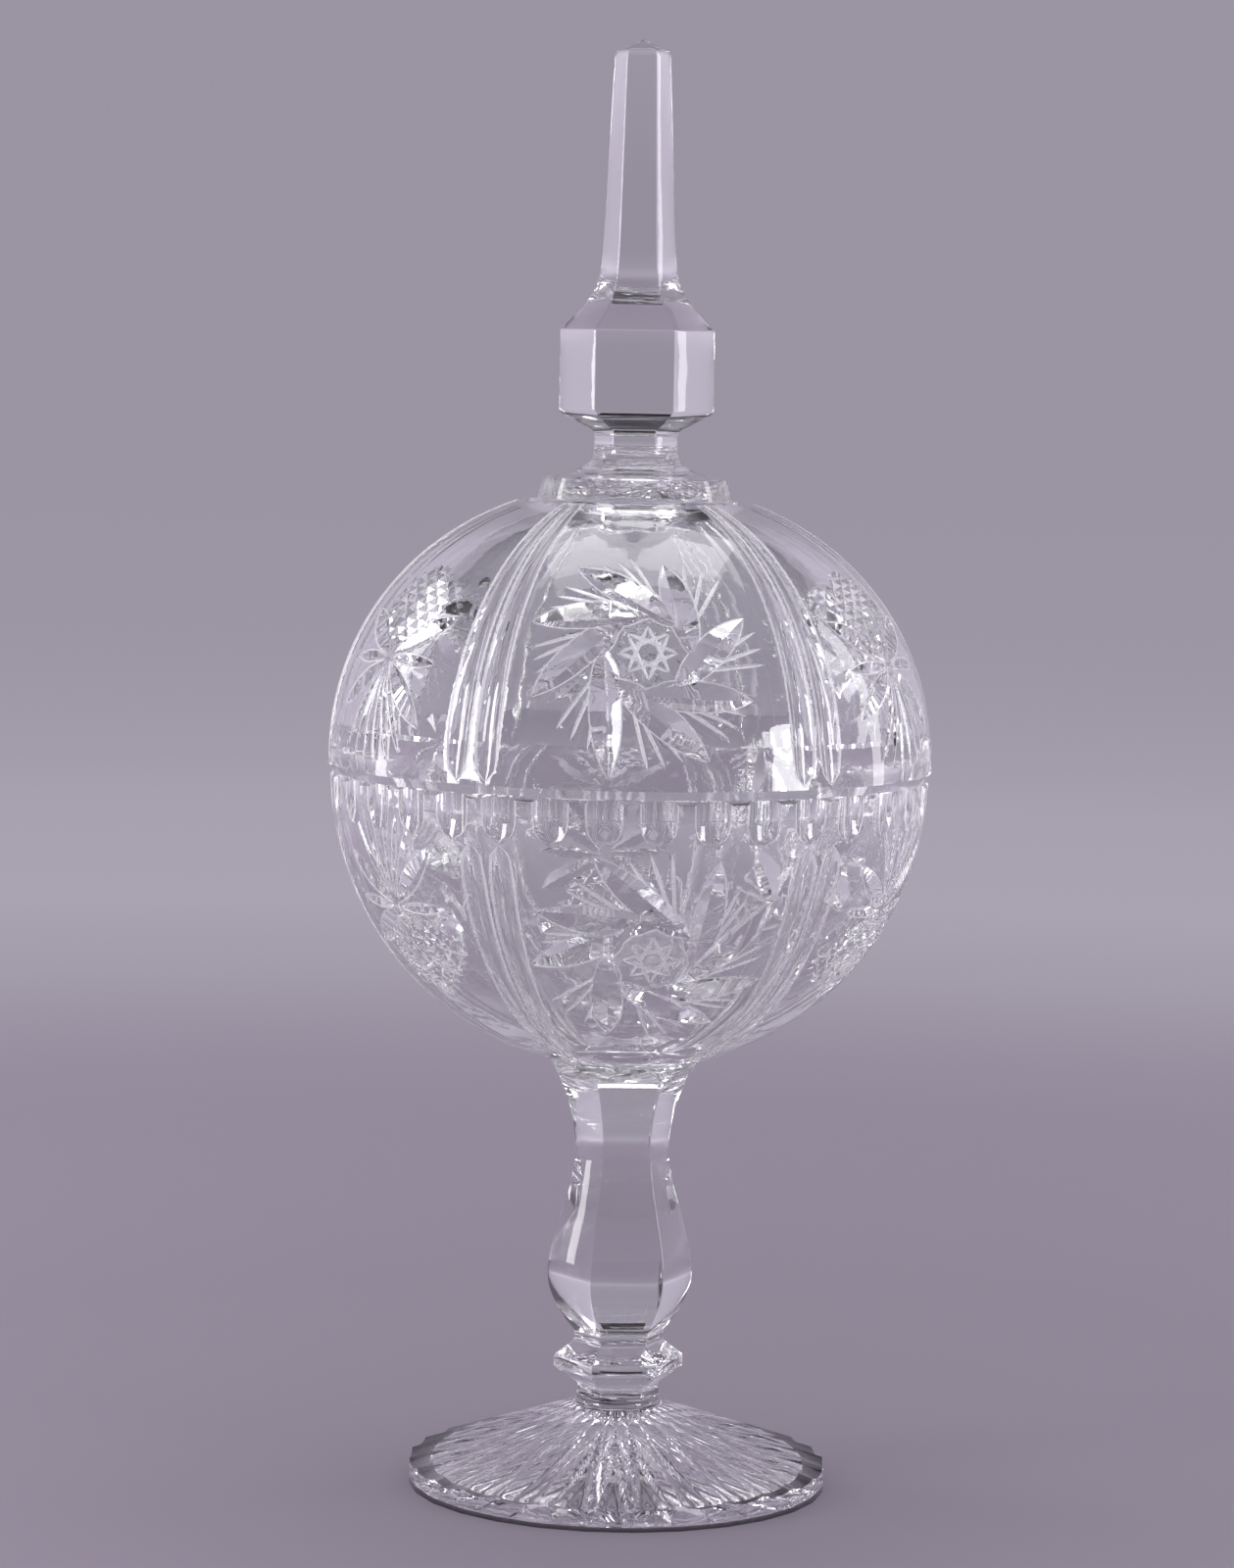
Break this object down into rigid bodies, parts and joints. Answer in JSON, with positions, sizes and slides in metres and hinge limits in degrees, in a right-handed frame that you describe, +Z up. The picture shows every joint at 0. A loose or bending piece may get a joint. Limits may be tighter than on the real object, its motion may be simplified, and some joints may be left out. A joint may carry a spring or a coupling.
{
  "type": "covered compote",
  "caption": "Clear cut glass compote on a fluted foot and hexagonal baluster stem, its round bowl closed by a matching domed lid that lifts off by a tall spire finial.",
  "frame": {"origin": "centre of the foot's underside, on the surface that the compote stands on", "axes": "+Z up along the stem and finial; -Y is the front, the side of the foot, stem and pinwheels that the picture shows"},
  "size_m": [0.1628, 0.1628, 0.3914],
  "materials": {
    "crystal": "polished clear lead crystal, wheel cut"
  },
  "bodies": {
    "base": {"foot": "crystal", "stem": "crystal", "bowl": "crystal"},
    "lid": {"lid_dome": "crystal", "lid_collar": "crystal", "finial": "crystal"}
  },
  "joints": [
    {"name": "lid_lift", "type": "slide", "parent": "base", "child": "lid", "axis": [0, 0, 1], "range_m": [0, 0.15]}
  ]
}
